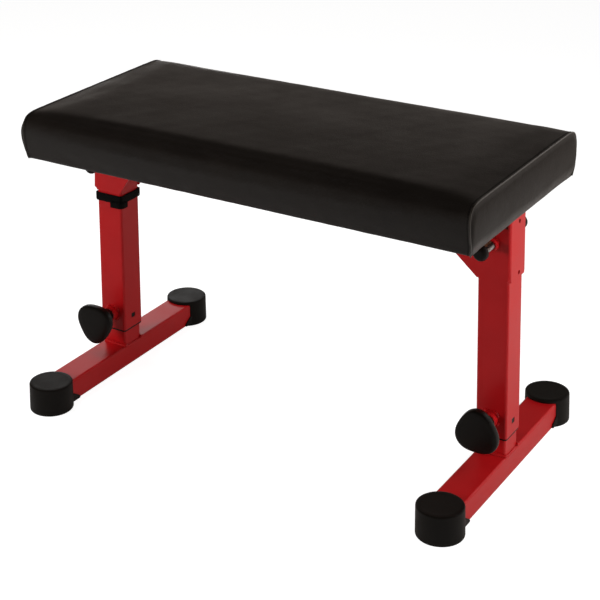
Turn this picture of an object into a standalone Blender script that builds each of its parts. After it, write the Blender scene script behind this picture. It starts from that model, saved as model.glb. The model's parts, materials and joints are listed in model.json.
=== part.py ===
"""Folding utility bench: a padded seat on a steel spine, with two fold-in, height-adjustable legs.

The origin is on the floor below the middle of the seat. +X runs along the seat, +Y to the rear
and +Z up. Lengths are in metres.
"""

import math

import bmesh
import bpy
from mathutils import Matrix

# ---- driving dimensions ----
LEG_X = 0.380            # middle of a leg from the middle of the seat
TUBE = 0.0535            # outer leg tube, square
WALL = 0.0015            # wall of every steel tube
TUBE_CORNER = 0.004      # outside corner radius of the tubes
POST = 0.0475            # inner post, square
BEAM_HEIGHT = 0.040      # of the base beams and the spine, which are TUBE wide
BEAM_BOTTOM = 0.0033     # floor to the underside of a base beam
BEAM_HALF_LENGTH = 0.212
CAP_Y = 0.2084           # middle of a foot cap
CAP_RADIUS = 0.0384
CAP_HEIGHT = 0.0488
SPINE_BOTTOM = 0.382
SPINE_END_X = 0.399
LEG_TUBE_BOTTOM = 0.075
POST_TOP = 0.290
HEIGHT_STEP = 0.020      # spacing of the height holes in a post
HEIGHT_HOLES = 5

PLATE = 0.003            # hinge bracket sheet
PLATE_PLAY = 0.0005      # between the leg tube and the bracket
PIVOT_INBOARD = 0.050    # pivot bolt from the middle of the leg
PIVOT_Z = SPINE_BOTTOM + BEAM_HEIGHT / 2
BOSS_RADIUS = {-1: 0.014, 1: 0.030}   # bracket edge round the pivot, left and right
BRACKET_BOTTOM = 0.342
PLATE_TOP = 0.432
WEB_TOP = 0.446
WEB_HOLES_Z = (0.350, 0.436)
WEB_HOLE_Y = 0.004
LOCK_Z = 0.404
LOCK_NOSE_RADIUS = 0.005
PIVOT_BOLT_RADIUS = 0.005

TAB_Z = 0.097            # snap tabs of the guide bushing
SCREW_RADIUS = 0.006     # height screw
KNOB_Z = 0.106           # height screw above the floor
KNOB_BACK = 0.0430       # lobed body, from the tube's face
KNOB_FRONT = 0.0605
KNOB_RADIUS = 0.035      # mean radius of the three-lobed outline
KNOB_LOBE = 0.08         # how far the lobes stand out, as a share of the radius
LOBE_TURN = {-1: -90.0, 1: 90.0}      # a lobe points down on the left knob, up on the right

PAD_BOTTOM = 0.452
PAD_WIDEST = 0.500
PAD_TOP = 0.534
PAD_SECTIONS = (         # height, half length, half width, corner radius
    (PAD_BOTTOM, 0.420, 0.197, 0.007),
    (0.465, 0.426, 0.201, 0.008),
    (0.485, 0.431, 0.205, 0.011),
    (PAD_WIDEST, 0.432, 0.206, 0.012),
    (0.514, 0.430, 0.204, 0.013),
    (0.526, 0.422, 0.196, 0.014),
    (0.531, 0.408, 0.184, 0.020),
    (PAD_TOP, 0.360, 0.140, 0.030),
)
COVER_THICKNESS = 0.0015
COVER_LIP = 0.030        # how far the cover is turned in under the board
BOARD_THICKNESS = 0.015
CROSS_X = 0.250
CROSS_HALF_LENGTH = 0.125
CROSS_WIDTH = 0.040
SEAT_BOLT_Y = 0.100

GAP = 0.0003             # between pieces that touch
BORE_PLAY = 0.0003       # radial, between a pin and its hole
PLUG_CORNER = TUBE_CORNER - WALL - GAP    # corner radius of a piece that fits inside a tube

SIDES = {-1: "left", 1: "right"}
ENDS = {-1: "front", 1: "rear"}

# ---- colours: (red, green, blue), roughness, metallic ----
FINISHES = {
    "red_paint": ((0.48, 0.012, 0.016), 0.38, 0.0),
    "black_leatherette": ((0.020, 0.018, 0.017), 0.45, 0.0),
    "foam": ((0.55, 0.50, 0.36), 0.95, 0.0),
    "plywood": ((0.42, 0.28, 0.15), 0.80, 0.0),
    "black_plastic": ((0.012, 0.012, 0.012), 0.42, 0.0),
    "black_rubber": ((0.020, 0.019, 0.018), 0.60, 0.0),
    "zinc_steel": ((0.60, 0.60, 0.58), 0.32, 1.0),
    "chrome": ((0.75, 0.75, 0.75), 0.16, 1.0),
    "black_webbing": ((0.008, 0.008, 0.008), 0.90, 0.0),
}

ALONG_X = (math.pi / 2, 0.0, math.pi / 2)
ALONG_Z = (0.0, 0.0, 0.0)


def outward(end):
    """Rotation that points an object's local +Z along -Y at the front, or along +Y at the rear."""
    return (-end * math.pi / 2, 0.0, 0.0)


ALONG_Y = outward(-1)


# ---- scene ----
def clear_scene():
    for old in list(bpy.data.objects):
        bpy.data.objects.remove(old, do_unlink=True)


def new_collection(name):
    collection = bpy.data.collections.new(name)
    bpy.context.scene.collection.children.link(collection)
    return collection


def make_material(piece_name, finish):
    colour, roughness, metallic = FINISHES[finish]
    material = bpy.data.materials.new(piece_name + "_" + finish)
    material.use_nodes = True
    shader = material.node_tree.nodes["Principled BSDF"]
    shader.inputs["Base Color"].default_value = (*colour, 1.0)
    shader.inputs["Roughness"].default_value = roughness
    shader.inputs["Metallic"].default_value = metallic
    return material


def finish_piece(obj, finish, parent, smooth_angle=35.0):
    """Name the mesh, shade it, give it its own material and hang it on its parent empty."""
    obj.data.name = obj.name
    obj.data.materials.clear()
    obj.data.materials.append(make_material(obj.name, finish))
    obj.data.shade_smooth()
    obj.data.set_sharp_from_angle(angle=math.radians(smooth_angle))
    place = obj.location.copy()
    obj.parent = parent
    obj.location = place - parent.matrix_world.translation
    return obj


def make_empty(name, location, parent=None):
    empty = bpy.data.objects.new(name, None)
    PARTS.objects.link(empty)
    empty.empty_display_size = 0.02
    base = parent.matrix_world.translation if parent else (0.0, 0.0, 0.0)
    empty.parent = parent
    empty.location = [a - b for a, b in zip(location, base)]
    bpy.context.view_layer.update()
    return empty


# ---- outlines ----
def rounded_rectangle(width, height, radius, steps=3):
    """Corner points of a rounded rectangle round the origin, counter-clockwise."""
    points = []
    for quarter in range(4):
        across = width / 2 - radius if quarter in (0, 3) else radius - width / 2
        up = height / 2 - radius if quarter in (0, 1) else radius - height / 2
        for step in range(steps + 1):
            angle = math.radians(90 * quarter + 90 * step / steps)
            points.append((across + radius * math.cos(angle), up + radius * math.sin(angle)))
    return points


def tube_loops(width, height, wall, corner=TUBE_CORNER):
    return [rounded_rectangle(width, height, corner),
            rounded_rectangle(width - 2 * wall, height - 2 * wall, corner - wall, 1)]


def arc(centre, radius, start, stop, steps):
    """Points on a circle from start to stop, in degrees, both ends included."""
    points = []
    for step in range(steps + 1):
        angle = math.radians(start + (stop - start) * step / steps)
        points.append((centre[0] + radius * math.cos(angle), centre[1] + radius * math.sin(angle)))
    return points


def tangent_angle(point, centre, radius, turn):
    """Angle, in degrees, at which a line from the point touches the circle; turn picks the side."""
    across = point[0] - centre[0]
    up = point[1] - centre[1]
    spread = math.acos(radius / math.hypot(across, up))
    return math.degrees(math.atan2(up, across) + turn * spread)


def lobed_outline(radius, lobe, turn, points=48):
    outline = []
    for index in range(points):
        angle = 2 * math.pi * index / points
        reach = radius * (1 + lobe * math.cos(3 * (angle - math.radians(turn))))
        outline.append((reach * math.cos(angle), reach * math.sin(angle)))
    return outline


# ---- solids ----
def mesh_from_curve(name, curve, rotation, location, collection):
    """Turn a curve into a mesh object whose caps are welded to its sides."""
    guide = bpy.data.objects.new(name + "_guide", curve)
    collection.objects.link(guide)
    guide.rotation_euler = rotation
    guide.location = location
    bpy.context.view_layer.update()
    evaluated = guide.evaluated_get(bpy.context.evaluated_depsgraph_get())
    mesh = bpy.data.meshes.new_from_object(evaluated)
    shape = bmesh.new()
    shape.from_mesh(mesh)
    bmesh.ops.remove_doubles(shape, verts=shape.verts, dist=1e-6)
    bmesh.ops.recalc_face_normals(shape, faces=shape.faces)
    shape.to_mesh(mesh)
    shape.free()
    obj = bpy.data.objects.new(name, mesh)
    collection.objects.link(obj)
    obj.matrix_world = guide.matrix_world.copy()
    bpy.data.objects.remove(guide, do_unlink=True)
    return obj


def extruded(name, loops, length, rotation, location, collection=None, rim=0.0, rim_steps=2):
    """Solid bar with the given section, centred on location; rim rounds its end edges."""
    curve = bpy.data.curves.new(name + "_curve", "CURVE")
    curve.dimensions = "2D"
    curve.fill_mode = "BOTH"
    curve.extrude = length / 2 - rim
    curve.bevel_depth = rim
    curve.bevel_resolution = rim_steps
    for loop in loops:
        spline = curve.splines.new("POLY")
        spline.points.add(len(loop) - 1)
        for point, (x, y) in zip(spline.points, loop):
            point.co = (x, y, 0.0, 1.0)
        spline.use_cyclic_u = True
    return mesh_from_curve(name, curve, rotation, location, collection or PARTS)


def turned(name, profile, rotation, location, steps=24, ring=False):
    """Profile of (radius, height) points swept round local Z; a ring's profile closes on itself."""
    mesh = bpy.data.meshes.new(name)
    edges = [(index, index + 1) for index in range(len(profile) - 1)]
    if ring:
        edges.append((len(profile) - 1, 0))
    mesh.from_pydata([(radius, 0.0, height) for radius, height in profile], edges, [])
    obj = bpy.data.objects.new(name, mesh)
    PARTS.objects.link(obj)
    obj.rotation_euler = rotation
    obj.location = location
    screw = obj.modifiers.new("turn", "SCREW")
    screw.steps = steps
    screw.render_steps = steps
    screw.use_merge_vertices = True
    screw.merge_threshold = 0.00005
    return obj


def block(name, size, location, collection=None):
    shape = bmesh.new()
    bmesh.ops.create_cube(shape, size=1.0)
    bmesh.ops.scale(shape, vec=size, verts=shape.verts)
    return mesh_object(name, shape, location, (0.0, 0.0, 0.0), collection or PARTS)


def cylinder(name, radius, length, rotation, location, collection=None, segments=24):
    shape = bmesh.new()
    bmesh.ops.create_cone(shape, cap_ends=True, segments=segments, radius1=radius,
                          radius2=radius, depth=length)
    return mesh_object(name, shape, location, rotation, collection or PARTS)


def mesh_object(name, shape, location, rotation, collection):
    mesh = bpy.data.meshes.new(name)
    shape.to_mesh(mesh)
    shape.free()
    obj = bpy.data.objects.new(name, mesh)
    collection.objects.link(obj)
    obj.location = location
    obj.rotation_euler = rotation
    return obj


def combine(target, tool, operation):
    tool.hide_render = True
    tool.display_type = "WIRE"
    modifier = target.modifiers.new(operation.lower() + "_" + tool.name, "BOOLEAN")
    modifier.operation = operation
    modifier.object = tool
    return target


def drill(target, radius, length, rotation, location, segments=16):
    """Cut a round hole, centred on location."""
    name = target.name + "_drill_" + str(len(target.modifiers))
    combine(target, cylinder(name, radius, length, rotation, location, TOOLS, segments), "DIFFERENCE")


# ---- seat ----
def pad_section(height, inset):
    """Half length, half width and corner radius of the pad at a height, drawn in by inset."""
    for (low, *low_sizes), (high, *high_sizes) in zip(PAD_SECTIONS, PAD_SECTIONS[1:]):
        if height <= high:
            break
    share = (height - low) / (high - low)
    sizes = [a + (b - a) * share - inset for a, b in zip(low_sizes, high_sizes)]
    return sizes[0], sizes[1], max(sizes[2], 0.003)


def pad_solid(name, inset, bottom, collection):
    """Closed pad form, drawn in by inset at its sides and top, with its underside at bottom."""
    heights = [bottom] + [section[0] for section in PAD_SECTIONS if section[0] > bottom + 0.002]
    shape = bmesh.new()
    rings = []
    for height in heights:
        half_length, half_width, corner = pad_section(height, inset)
        drop = inset * max(0.0, height - PAD_WIDEST) / (PAD_TOP - PAD_WIDEST)
        outline = rounded_rectangle(2 * half_length, 2 * half_width, corner)
        rings.append([shape.verts.new((x, y, height - drop)) for x, y in outline])
    shape.faces.new(reversed(rings[0]))
    shape.faces.new(rings[-1])
    for lower, upper in zip(rings, rings[1:]):
        for index, vert in enumerate(lower):
            after = (index + 1) % len(lower)
            shape.faces.new((vert, lower[after], upper[after], upper[index]))
    return mesh_object(name, shape, (0.0, 0.0, 0.0), (0.0, 0.0, 0.0), collection)


def build_seat(seat):
    cover = pad_solid("seat_cover", 0.0, PAD_BOTTOM, PARTS)
    inside = pad_solid("seat_cover_inside", COVER_THICKNESS, PAD_BOTTOM + COVER_THICKNESS, TOOLS)
    half_length, half_width, _ = pad_section(PAD_BOTTOM, COVER_LIP)
    opening = (2 * half_length, 2 * half_width)
    mouth = block("seat_cover_mouth", (*opening, 0.01), (0.0, 0.0, PAD_BOTTOM), TOOLS)
    combine(combine(cover, inside, "DIFFERENCE"), mouth, "DIFFERENCE")
    finish_piece(cover, "black_leatherette", seat)

    board_bottom = PAD_BOTTOM + COVER_THICKNESS + GAP
    half_length, half_width, corner = pad_section(board_bottom, COVER_THICKNESS + 2 * GAP)
    board_outline = rounded_rectangle(2 * half_length, 2 * half_width, corner)
    board = extruded("seat_board", [board_outline], BOARD_THICKNESS, ALONG_Z,
                     (0.0, 0.0, board_bottom + BOARD_THICKNESS / 2))
    foam = pad_solid("seat_foam", COVER_THICKNESS + GAP, board_bottom + BOARD_THICKNESS + GAP,
                     PARTS)
    finish_piece(foam, "foam", seat)

    bolt_radius = 0.004
    for side, side_name in SIDES.items():
        cross = build_cross_member(side, side_name, board_bottom - GAP)
        for end, end_name in ENDS.items():
            place = (side * CROSS_X, end * SEAT_BOLT_Y, board_bottom)
            for target in (board, cross):
                drill(target, bolt_radius + BORE_PLAY, 0.024, ALONG_Z, place)
            name = "seat_bolt_" + end_name + "_" + side_name
            under_flange = -2 * GAP - PLATE
            bolt = hex_bolt(name, bolt_radius, head_radius=0.0065, head_height=0.0053,
                            seat_at=under_flange, tip_at=0.012, rotation=ALONG_Z, location=place)
            finish_piece(bolt, "zinc_steel", seat)
        finish_piece(cross, "red_paint", seat)
    finish_piece(board, "plywood", seat)
    build_spine(seat)


def hex_bolt(name, radius, head_radius, head_height, seat_at, tip_at, rotation, location):
    """Bolt along local Z: its head hangs below seat_at and its shank ends at tip_at."""
    shank_length = tip_at - seat_at + head_height / 2
    bolt = cylinder(name, radius, shank_length, rotation, location)
    bolt.data.transform(shift(tip_at - shank_length / 2))
    head = cylinder(name + "_head", head_radius, head_height, rotation, location, TOOLS, 6)
    head.data.transform(shift(seat_at - head_height / 2))
    return combine(bolt, head, "UNION")


def shift(height):
    return Matrix.Translation((0.0, 0.0, height))


def build_cross_member(side, side_name, top):
    """Channel, open below, that carries the board on the spine."""
    spine_top = SPINE_BOTTOM + BEAM_HEIGHT + GAP
    height = top - spine_top
    half = CROSS_WIDTH / 2
    outline = [(half, 0.0), (half, height), (-half, height), (-half, 0.0),
               (PLATE - half, 0.0), (PLATE - half, height - PLATE),
               (half - PLATE, height - PLATE), (half - PLATE, 0.0)]
    return extruded(side_name + "_cross_member", [outline], 2 * CROSS_HALF_LENGTH, ALONG_Y,
                    (side * CROSS_X, 0.0, spine_top))


def build_spine(seat):
    spine = extruded("spine_tube", tube_loops(TUBE, BEAM_HEIGHT, WALL), 2 * SPINE_END_X, ALONG_X,
                     (0.0, 0.0, PIVOT_Z))
    sleeve_radius = 0.007
    for side, side_name in SIDES.items():
        pivot = (side * (LEG_X - PIVOT_INBOARD), 0.0, PIVOT_Z)
        drill(spine, sleeve_radius + BORE_PLAY, 2 * TUBE, ALONG_Y, pivot)
        drill(spine, LOCK_NOSE_RADIUS + BORE_PLAY, 2 * TUBE, ALONG_Y, (side * LEG_X, 0.0, LOCK_Z))
        bore = PIVOT_BOLT_RADIUS + BORE_PLAY
        half = TUBE / 2
        sleeve = turned(side_name + "_pivot_sleeve",
                        [(sleeve_radius, half), (sleeve_radius, -half), (bore, -half), (bore, half)],
                        ALONG_Y, pivot, ring=True)
        finish_piece(sleeve, "zinc_steel", seat)
        finish_piece(build_spine_plug(side, side_name), "black_plastic", seat)
    finish_piece(spine, "red_paint", seat)


def build_spine_plug(side, side_name):
    flange = 0.003
    depth = 0.012
    play = 2 * (WALL + GAP)
    name = side_name + "_spine_plug"
    edge = SPINE_END_X + GAP
    plug = extruded(name, [rounded_rectangle(TUBE, BEAM_HEIGHT, TUBE_CORNER)], flange, ALONG_X,
                    (side * (edge + flange / 2), 0.0, PIVOT_Z))
    stem = extruded(name + "_stem", [rounded_rectangle(TUBE - play, BEAM_HEIGHT - play, PLUG_CORNER, 1)],
                    depth, ALONG_X, (side * (edge + flange / 2 - depth / 2), 0.0, PIVOT_Z), TOOLS)
    return combine(plug, stem, "UNION")


# ---- leg ----
def build_bracket(side, side_name, leg):
    """U-shaped hinge bracket: two plates beside the tube, joined by a web on its outboard face."""
    reach = TUBE / 2 + PLATE_PLAY + PLATE
    boss = (-PIVOT_INBOARD, PIVOT_Z)
    radius = BOSS_RADIUS[side]
    toe = (-TUBE / 2, BRACKET_BOTTOM)
    shoulder = (reach - 0.0045, PLATE_TOP)
    start = tangent_angle(toe, boss, radius, -1) + 360.0
    stop = tangent_angle(shoulder, boss, radius, 1)
    outline = [(reach, BRACKET_BOTTOM), toe] + arc(boss, radius, start, stop, 10)
    outline += [shoulder, (shoulder[0], WEB_TOP), (reach, WEB_TOP)]
    outline = [(side * x, z) for x, z in outline]
    name = side_name + "_hinge_bracket"
    place = (side * LEG_X, 0.0, 0.0)
    bracket = extruded(name, [outline], 2 * reach, ALONG_Y, place)
    round_bends(bracket, side * reach)
    hollow_reach = reach - PLATE
    hollow_size = (0.2, 2 * hollow_reach, 0.2)
    hollow_place = (side * (LEG_X + hollow_reach - hollow_size[0] / 2), 0.0, PIVOT_Z)
    combine(bracket, block(name + "_hollow", hollow_size, hollow_place, TOOLS), "DIFFERENCE")
    drill(bracket, PIVOT_BOLT_RADIUS + BORE_PLAY, 2 * TUBE, ALONG_Y,
          (side * (LEG_X - PIVOT_INBOARD), 0.0, PIVOT_Z))
    drill(bracket, LOCK_NOSE_RADIUS + BORE_PLAY, 2 * TUBE, ALONG_Y, (side * LEG_X, 0.0, LOCK_Z))
    for height in WEB_HOLES_Z:
        drill(bracket, 0.0035, 0.02, ALONG_X, (side * (LEG_X + reach), WEB_HOLE_Y, height))
    finish_piece(bracket, "red_paint", leg)


def round_bends(bracket, web_x):
    """Round the two long outer edges where the sheet is bent."""
    shape = bmesh.new()
    shape.from_mesh(bracket.data)
    bends = [e for e in shape.edges if all(abs(v.co.x - web_x) < 1e-5 for v in e.verts)
             and abs(e.verts[0].co.y - e.verts[1].co.y) > 0.05]
    bmesh.ops.bevel(shape, geom=bends, offset=0.0055, segments=4, profile=0.5, affect="EDGES")
    shape.to_mesh(bracket.data)
    shape.free()


def build_leg_tube(side, side_name, leg):
    top = SPINE_BOTTOM - 0.001
    height = top - LEG_TUBE_BOTTOM
    tube = extruded(side_name + "_leg_tube", tube_loops(TUBE, TUBE, WALL), height, ALONG_Z,
                    (side * LEG_X, 0.0, LEG_TUBE_BOTTOM + height / 2))
    window = block(tube.name + "_window", (2 * TUBE, 0.011, 0.0086),
                   (side * LEG_X, 0.0, TAB_Z), TOOLS)
    combine(tube, window, "DIFFERENCE")
    drill(tube, SCREW_RADIUS + 2 * BORE_PLAY, TUBE / 2, ALONG_Y, (side * LEG_X, -TUBE / 2, KNOB_Z))
    finish_piece(tube, "red_paint", leg)


def build_guide_bushing(side, side_name, leg):
    """Plastic sleeve between tube and post, with a rim below and two snap tabs in the windows."""
    name = side_name + "_guide_bushing"
    inner = POST + 2 * BORE_PLAY
    outer = TUBE - 2 * WALL - 2 * GAP
    rim = 0.0027
    bottom = LEG_TUBE_BOTTOM - GAP - rim
    height = 0.060
    inner_corner = 0.0035
    loops = [rounded_rectangle(outer, outer, PLUG_CORNER, 1),
             rounded_rectangle(inner, inner, inner_corner)]
    bushing = extruded(name, loops, height, ALONG_Z, (side * LEG_X, 0.0, bottom + height / 2))
    rim_loops = [rounded_rectangle(TUBE - 0.001, TUBE - 0.001, TUBE_CORNER),
                 rounded_rectangle(inner + 0.001, inner + 0.001, inner_corner)]
    collar = extruded(name + "_rim", rim_loops, rim, ALONG_Z,
                      (side * LEG_X, 0.0, bottom + rim / 2), TOOLS)
    combine(bushing, collar, "UNION")
    tab_root = inner / 2 + GAP
    tab_face = TUBE / 2 - 0.0005
    tab_depth = tab_face - tab_root
    for face in (-1, 1):
        tab_x = side * LEG_X + face * (tab_root + tab_face) / 2
        tab = block(name + "_tab_" + str(face + 1), (tab_depth, 0.0104, 0.008),
                    (tab_x, 0.0, TAB_Z), TOOLS)
        combine(bushing, tab, "UNION")
    drill(bushing, SCREW_RADIUS + 2 * BORE_PLAY, TUBE / 2, ALONG_Y,
          (side * LEG_X, -TUBE / 2, KNOB_Z))
    finish_piece(bushing, "black_plastic", leg)


def build_pivot(side, side_name, leg):
    """Bolt and nut that hold the bracket on the spine."""
    place = (side * (LEG_X - PIVOT_INBOARD), 0.0, PIVOT_Z)
    face = TUBE / 2 + PLATE_PLAY + PLATE + GAP
    corner_radius = 0.0095
    bolt = hex_bolt(side_name + "_pivot_bolt", PIVOT_BOLT_RADIUS, head_radius=corner_radius,
                    head_height=0.0064, seat_at=-face, tip_at=face + 0.013,
                    rotation=outward(1), location=place)
    finish_piece(bolt, "zinc_steel", leg)
    nut_height = 0.009
    nut = cylinder(side_name + "_pivot_nut", corner_radius, nut_height, ALONG_Y,
                   (place[0], face + nut_height / 2, PIVOT_Z), segments=6)
    drill(nut, PIVOT_BOLT_RADIUS + BORE_PLAY, 2 * nut_height, ALONG_Y, tuple(nut.location))
    finish_piece(nut, "zinc_steel", leg)


def build_strap(side, side_name, leg):
    """Hook-and-loop strap round the leg tube, with its free end lapped over one corner."""
    name = side_name + "_leg_strap"
    inner = TUBE + 0.001
    thickness = 0.0032
    width = 0.020
    middle = 0.3285
    loops = [rounded_rectangle(inner + 2 * thickness, inner + 2 * thickness, 0.0065),
             rounded_rectangle(inner, inner, TUBE_CORNER)]
    band = extruded(name, loops, width, ALONG_Z, (side * LEG_X, 0.0, middle))
    near = inner / 2 + thickness - GAP
    far = near + 0.0026
    centre = (near - 0.007, 0.007 - near)
    inner_path = arc(centre, 0.007, -90.0, 0.0, 3)
    outer_path = arc(centre, 0.007 + far - near, 0.0, -90.0, 3)
    tail_left = TUBE / 2 - 0.014
    tail_rear = 0.022 - TUBE / 2
    outline = ([(tail_left, -near)] + inner_path + [(near, tail_rear), (far, tail_rear)]
               + outer_path + [(tail_left, -far)])
    tail = extruded(name + "_tail", [outline], width - 0.001, ALONG_Z,
                    (side * LEG_X, 0.0, middle - 0.008), TOOLS)
    finish_piece(combine(band, tail, "UNION"), "black_webbing", leg)


# ---- sprung lock pins of the hinge ----
LOCK_BARREL = 0.036      # barrel length from the plate's outer face
LOCK_SHAFT_RADIUS = 0.0025
LOCK_SHOULDER = 0.014    # where the nose ends and the spring begins
LOCK_CAP = 0.033         # underside of the barrel's end wall


def build_lock(side, side_name, end, leg):
    """Welded collar, threaded barrel, spring, pin and knob; local +Z points away from the bench."""
    name = side_name + "_" + ENDS[end] + "_lock"
    face = TUBE / 2 + PLATE_PLAY + PLATE
    place = (side * LEG_X, end * face, LOCK_Z)
    turn = outward(end)
    barrel_radius = 0.007
    bore = LOCK_NOSE_RADIUS + BORE_PLAY
    shaft_bore = LOCK_SHAFT_RADIUS + BORE_PLAY
    collar_radius, collar_length, chamfer = 0.011, 0.009, 0.0015
    collar_bore = barrel_radius + BORE_PLAY
    collar = [(collar_radius - chamfer, collar_length), (collar_radius, collar_length - chamfer),
              (collar_radius, GAP), (collar_bore, GAP), (collar_bore, collar_length)]
    finish_piece(turned(name + "_collar", collar, turn, place, ring=True), "red_paint", leg)
    barrel = [(barrel_radius, LOCK_BARREL), (barrel_radius, GAP), (bore, GAP), (bore, LOCK_CAP),
              (shaft_bore, LOCK_CAP), (shaft_bore, LOCK_BARREL)]
    finish_piece(turned(name + "_barrel", barrel, turn, place, ring=True), "chrome", leg)
    finish_piece(build_spring(name + "_spring", turn, place), "zinc_steel", leg)

    slide = make_empty(name + "_slide", place, leg)
    nose = GAP - PLATE
    nose_chamfer = 0.001
    shaft_end = 0.048
    pin = [(0.0, shaft_end), (LOCK_SHAFT_RADIUS, shaft_end), (LOCK_SHAFT_RADIUS, LOCK_SHOULDER),
           (LOCK_NOSE_RADIUS, LOCK_SHOULDER), (LOCK_NOSE_RADIUS, nose + nose_chamfer),
           (LOCK_NOSE_RADIUS - nose_chamfer, nose), (0.0, nose)]
    finish_piece(turned(name + "_pin", pin, turn, place, 16), "zinc_steel", slide)
    radius = 0.0125
    back = LOCK_BARREL + GAP
    front = 0.053
    front_round, back_round = 0.004, 0.002
    knob = [(0.0, front)]
    knob += arc((radius - front_round, front - front_round), front_round, 90.0, 0.0, 3)
    knob += arc((radius - back_round, back + back_round), back_round, 0.0, -90.0, 2)
    knob += [(shaft_bore, back), (shaft_bore, shaft_end + GAP), (0.0, shaft_end + GAP)]
    finish_piece(turned(name + "_knob", knob, turn, place), "black_plastic", slide)


def build_spring(name, turn, place):
    wire = 0.0005
    coil_radius = 0.0040
    turns = 5
    points_a_turn = 10
    start = LOCK_SHOULDER + wire + GAP
    rise = LOCK_CAP - wire - GAP - start
    count = turns * points_a_turn + 1
    curve = bpy.data.curves.new(name + "_curve", "CURVE")
    curve.dimensions = "3D"
    curve.bevel_depth = wire
    curve.bevel_resolution = 0
    curve.use_fill_caps = True
    spline = curve.splines.new("POLY")
    spline.points.add(count - 1)
    for index, point in enumerate(spline.points):
        angle = 2 * math.pi * index / points_a_turn
        point.co = (coil_radius * math.cos(angle), coil_radius * math.sin(angle),
                    start + rise * index / (count - 1), 1.0)
    return mesh_from_curve(name, curve, turn, place, PARTS)


# ---- height screw ----
def build_height_screw(side, side_name, leg):
    place = (side * LEG_X, -TUBE / 2, KNOB_Z)
    turn = outward(-1)
    bore = SCREW_RADIUS + BORE_PLAY
    collar_radius, collar_front, chamfer = 0.013, 0.013, 0.0015
    collar = [(collar_radius - chamfer, collar_front), (collar_radius, collar_front - chamfer),
              (collar_radius, GAP), (bore, GAP), (bore, collar_front)]
    finish_piece(turned(side_name + "_height_collar", collar, turn, place, ring=True),
                 "red_paint", leg)
    slide = make_empty(side_name + "_height_slide", place, leg)
    tip = POST / 2 + GAP + 0.0001 - TUBE / 2
    end = 0.0525
    screw = [(0.0, end), (SCREW_RADIUS, end), (SCREW_RADIUS, tip + chamfer),
             (SCREW_RADIUS - chamfer, tip), (0.0, tip)]
    finish_piece(turned(side_name + "_height_screw", screw, turn, place), "zinc_steel", slide)

    spin = make_empty(side_name + "_height_spin", place, slide)
    name = side_name + "_height_knob"
    rim = 0.0035
    outline = lobed_outline(KNOB_RADIUS - rim, KNOB_LOBE, LOBE_TURN[side])
    middle = (KNOB_BACK + KNOB_FRONT) / 2
    knob = extruded(name, [outline], KNOB_FRONT - KNOB_BACK, turn,
                    (place[0], place[1] - middle, KNOB_Z), rim=rim)
    hub_back = collar_front + 0.0008
    hub_length = KNOB_BACK + 0.004 - hub_back
    hub_radius = 0.0125
    hub = cylinder(name + "_hub", hub_radius, hub_length, turn,
                   (place[0], place[1] - hub_back - hub_length / 2, KNOB_Z), TOOLS)
    combine(knob, hub, "UNION")
    bore_length = end + GAP
    drill(knob, bore, bore_length, turn, (place[0], place[1] - bore_length / 2, KNOB_Z), 24)
    finish_piece(knob, "black_plastic", spin)


# ---- foot ----
def build_foot(side, side_name, foot):
    beam_top = BEAM_BOTTOM + BEAM_HEIGHT
    post_bottom = beam_top + GAP
    height = POST_TOP - post_bottom
    post = extruded(side_name + "_inner_post", tube_loops(POST, POST, WALL), height, ALONG_Z,
                    (side * LEG_X, 0.0, post_bottom + height / 2))
    for index in range(HEIGHT_HOLES):
        drill(post, SCREW_RADIUS + BORE_PLAY, POST / 2, ALONG_Y,
              (side * LEG_X, -POST / 2, KNOB_Z + index * HEIGHT_STEP))
    finish_piece(post, "red_paint", foot)
    beam = extruded(side_name + "_base_beam", tube_loops(TUBE, BEAM_HEIGHT, WALL),
                    2 * BEAM_HALF_LENGTH, ALONG_Y,
                    (side * LEG_X, 0.0, BEAM_BOTTOM + BEAM_HEIGHT / 2))
    finish_piece(beam, "red_paint", foot)
    for end, end_name in ENDS.items():
        build_cap(side, side_name, end, end_name, foot)


def build_cap(side, side_name, end, end_name, foot):
    """Round rubber foot with a socket for the end of the beam and a tongue along each flank."""
    rim = 0.006
    base = 0.0015
    profile = [(0.0, CAP_HEIGHT)]
    profile += arc((CAP_RADIUS - rim, CAP_HEIGHT - rim), rim, 90.0, 0.0, 4)
    profile += [(CAP_RADIUS, base), (CAP_RADIUS - base, 0.0), (0.0, 0.0)]
    cap = turned(side_name + "_" + end_name + "_foot_cap", profile, ALONG_Z,
                 (side * LEG_X, end * CAP_Y, 0.0), 36)
    tongue_bottom, tongue_tip, tongue_top = 0.0008, 0.004, 0.019
    tongue_width = 0.002
    near, shoulder, far = [end * (CAP_Y - reach) for reach in (0.010, 0.025, 0.036)]
    outline = [(near, tongue_bottom), (far, tongue_bottom), (far, tongue_tip),
               (shoulder, tongue_top), (near, tongue_top)]
    for flank in (-1, 1):
        tongue = extruded(cap.name + "_tongue_" + str(flank + 1), [outline], 2 * tongue_width,
                          ALONG_X, (side * LEG_X + flank * TUBE / 2, 0.0, 0.0), TOOLS)
        combine(cap, tongue, "UNION")
    socket_length = 0.08
    socket_start = BEAM_HALF_LENGTH + GAP
    socket = block(cap.name + "_socket", (TUBE + 2 * GAP, socket_length, BEAM_HEIGHT + 2 * GAP),
                   (side * LEG_X, end * (socket_start - socket_length / 2),
                    BEAM_BOTTOM + BEAM_HEIGHT / 2), TOOLS)
    combine(cap, socket, "DIFFERENCE")
    finish_piece(cap, "black_rubber", foot)


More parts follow.
